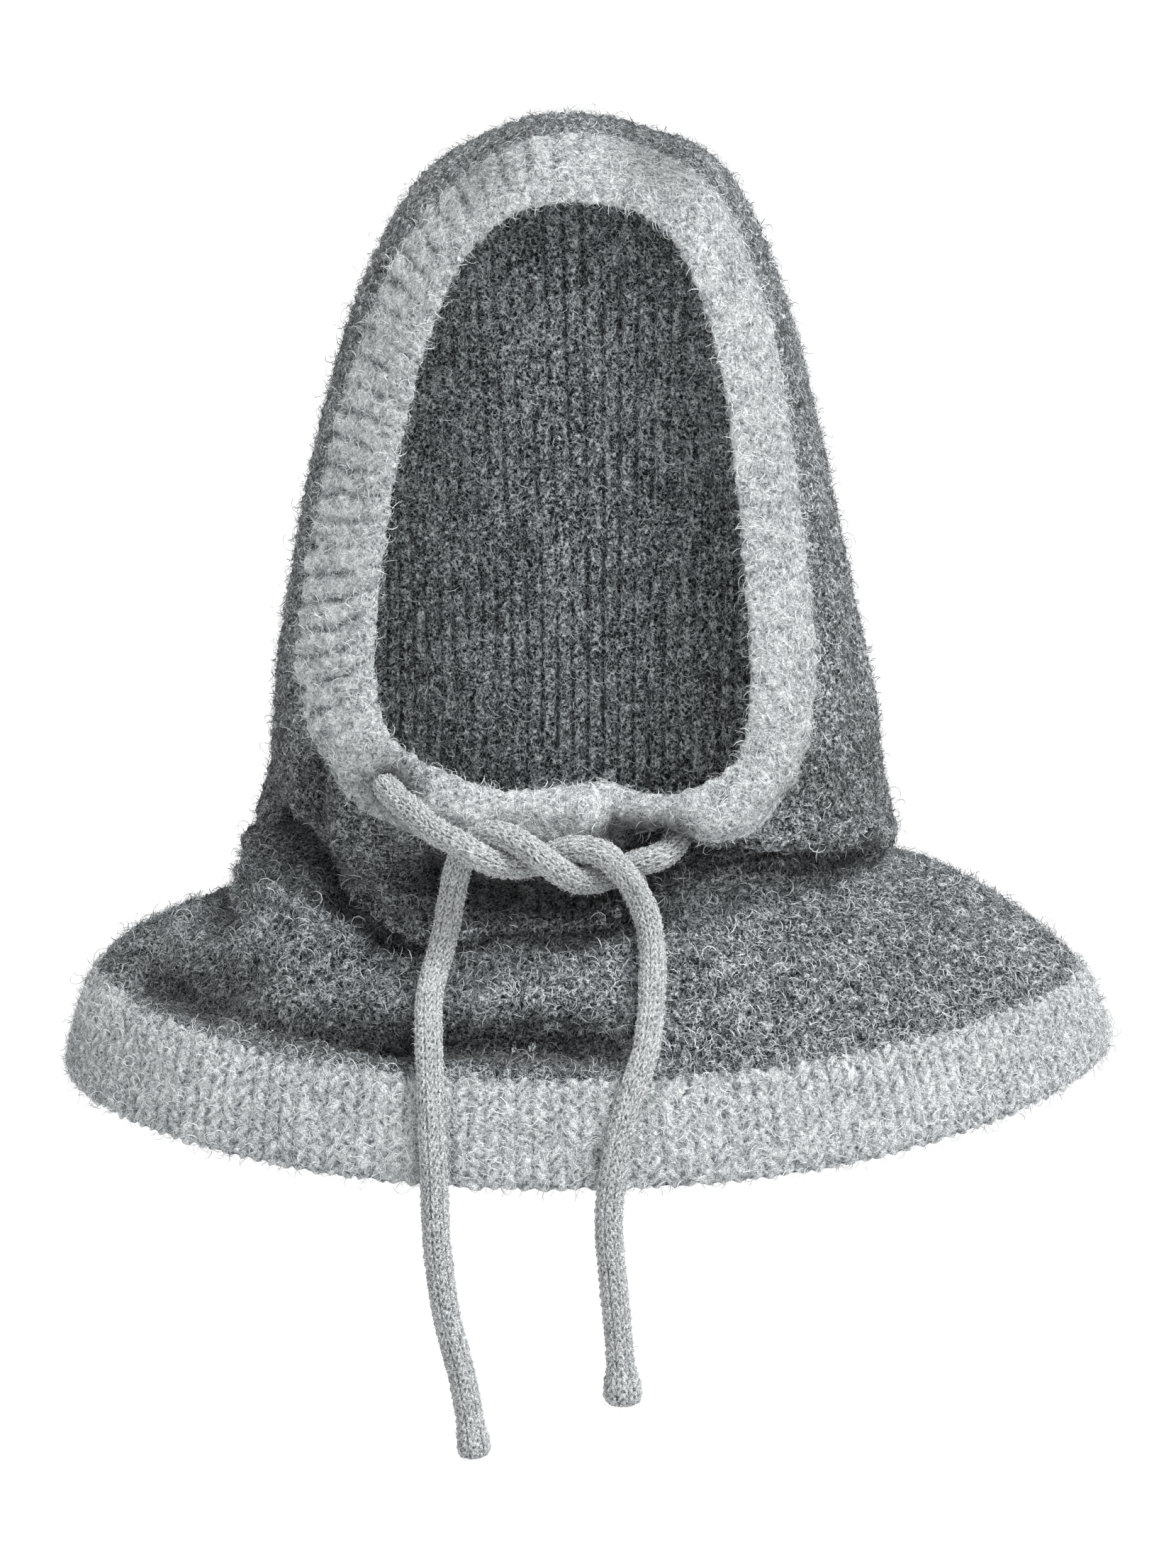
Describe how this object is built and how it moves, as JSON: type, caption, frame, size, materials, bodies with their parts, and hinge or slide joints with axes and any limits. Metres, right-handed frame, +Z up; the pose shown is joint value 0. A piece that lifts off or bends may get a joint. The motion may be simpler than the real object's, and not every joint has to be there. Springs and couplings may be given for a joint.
{
  "type": "knitted hood with a shoulder cape and a drawstring",
  "caption": "Brushed knit hood widening into a short shoulder cape, with a ribbed band around the face, a light hem band and a drawstring crossed under the chin.",
  "frame": {"origin": "where the top of the wearer's head touches the inside of the crown", "axes": "+Z up; -Y out of the face opening, the way the wearer looks; +X to the wearer's left"},
  "size_m": [0.3981, 0.2942, 0.4822],
  "materials": {
    "light_wool": "brushed ribbed knit, pale grey, matte",
    "dark_wool": "brushed knit, mottled mid grey, matte",
    "cord_wool": "round knitted cord, pale grey, matte"
  },
  "bodies": {
    "root": {"face_band": "light_wool", "hood": "dark_wool", "cape": "dark_wool", "hem_band": "light_wool", "drawstring_left": "cord_wool", "drawstring_right": "cord_wool"}
  },
  "joints": []
}
